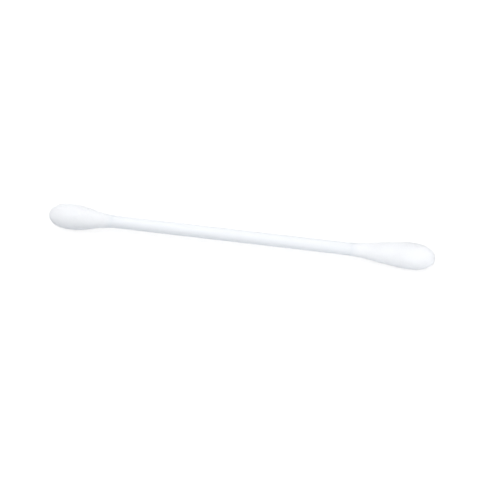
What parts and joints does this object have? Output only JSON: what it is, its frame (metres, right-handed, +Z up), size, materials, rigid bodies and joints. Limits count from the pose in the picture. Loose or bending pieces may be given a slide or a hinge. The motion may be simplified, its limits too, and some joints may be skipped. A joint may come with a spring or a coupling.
{
  "type": "cotton swab",
  "caption": "Double-ended cotton swab: a thin straight hollow plastic stick with a wound white cotton bud on each end, lying on its side.",
  "frame": {"origin": "on the surface the swab lies on, below the middle of the stick", "axes": "+X along the stick towards the right-hand head, the longer one, +Z up"},
  "size_m": [0.073, 0.0048, 0.0048],
  "materials": {
    "stick": "extruded white polypropylene, smooth with a soft low sheen",
    "cotton": "bleached cotton fibre, wound and pressed smooth, matt"
  },
  "bodies": {
    "root": {"stem": "stick", "cotton_head_left": "cotton", "cotton_head_right": "cotton"}
  },
  "joints": []
}
